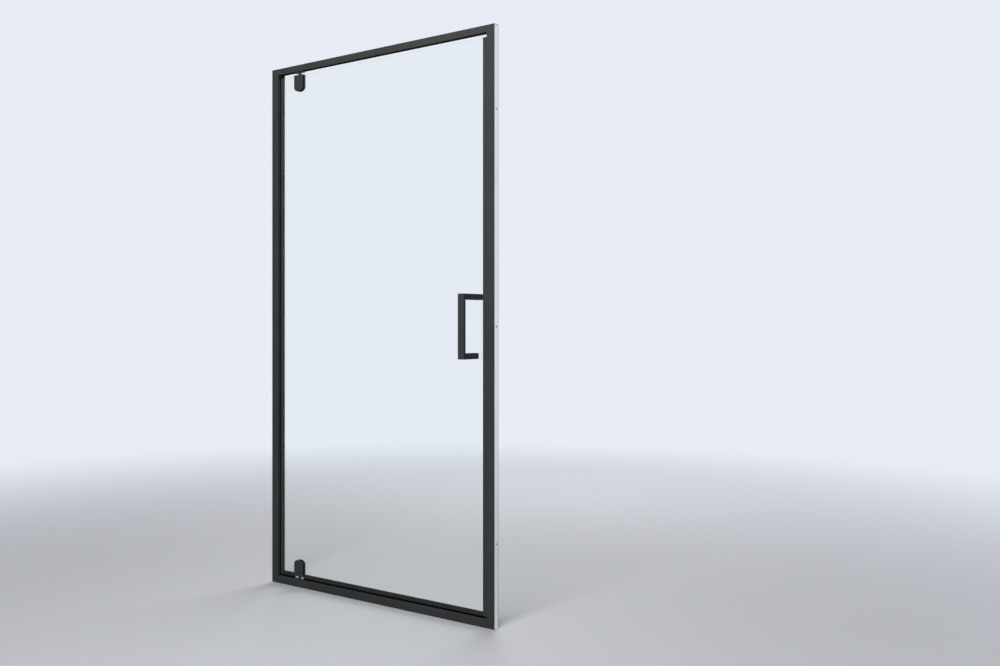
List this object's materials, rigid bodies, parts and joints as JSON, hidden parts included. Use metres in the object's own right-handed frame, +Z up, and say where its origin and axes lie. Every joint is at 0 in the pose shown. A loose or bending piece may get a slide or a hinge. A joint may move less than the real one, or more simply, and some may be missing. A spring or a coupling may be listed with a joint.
{
  "type": "alcove shower door",
  "caption": "Framed alcove shower door: a clear glass leaf on offset pivots in a satin black frame, with a square pull handle, magnetic closing seals and a low threshold.",
  "frame": {"origin": "on the underside of the threshold, halfway between the two walls, below the middle of the glass", "axes": "+Z up, +X from the hinge jamb to the strike jamb, +Y into the shower; the leaf opens towards -Y"},
  "size_m": [1, 0.0987, 1.85],
  "materials": {
    "frame_black": "satin black anodised aluminium extrusion",
    "hardware_black": "satin black coated zinc and brass fittings",
    "clear_glass": "clear toughened glass, 6 mm, with ground edges",
    "black_rubber": "matt black flexible seal",
    "magnet": "magnetic rubber strip",
    "black_nylon": "fine matt black nylon",
    "steel": "stainless steel",
    "mill_aluminium": "mill finish extrusion"
  },
  "bodies": {
    "frame": {"hinge_wall_channel": "mill_aluminium", "hinge_jamb": "frame_black", "hinge_jamb_cap": "black_nylon", "hinge_lock_screw_1": "steel", "hinge_lock_screw_2": "steel", "hinge_lock_screw_3": "steel", "strike_wall_channel": "mill_aluminium", "strike_jamb": "frame_black", "strike_jamb_cap": "black_nylon", "strike_lock_screw_1": "steel", "strike_lock_screw_2": "steel", "strike_lock_screw_3": "steel", "header_rail": "frame_black", "header_screw_hinge": "steel", "header_screw_strike": "steel", "threshold_rail": "frame_black", "threshold_screw_hinge": "steel", "threshold_screw_strike": "steel", "jamb_magnet_seal": "black_rubber", "jamb_magnet": "magnet", "lower_pivot_plate": "hardware_black", "lower_pivot_pin": "hardware_black", "lower_plate_screw_1": "steel", "lower_plate_screw_2": "steel", "upper_pivot_plate": "hardware_black", "upper_pivot_pin": "hardware_black", "upper_plate_screw_1": "steel", "upper_plate_screw_2": "steel"},
    "door": {"glass_panel": "clear_glass", "hinge_edge_trim": "frame_black", "hinge_edge_seal": "black_rubber", "strike_edge_trim": "frame_black", "door_magnet_seal": "black_rubber", "door_magnet": "magnet", "bottom_seal_short": "black_rubber", "bottom_seal_long": "black_rubber", "lower_outer_clamp": "hardware_black", "lower_inner_clamp": "hardware_black", "lower_outer_gasket": "black_rubber", "lower_inner_gasket": "black_rubber", "lower_pivot_bush": "black_nylon", "lower_clamp_screw_1": "steel", "lower_clamp_screw_2": "steel", "upper_outer_clamp": "hardware_black", "upper_inner_clamp": "hardware_black", "upper_outer_gasket": "black_rubber", "upper_inner_gasket": "black_rubber", "upper_pivot_bush": "black_nylon", "upper_clamp_screw_1": "steel", "upper_clamp_screw_2": "steel", "pull_handle": "hardware_black", "upper_handle_pad": "black_nylon", "lower_handle_pad": "black_nylon", "upper_handle_sleeve": "black_nylon", "lower_handle_sleeve": "black_nylon", "inner_knob": "hardware_black", "upper_handle_stud": "steel", "inner_cap": "hardware_black", "lower_handle_bolt": "steel"}
  },
  "joints": [
    {"name": "door_pivot", "type": "hinge", "parent": "frame", "child": "door", "pos_m": [-0.3673, 0, 0], "axis": [0, 0, -1], "range_deg": [0, 90]}
  ]
}
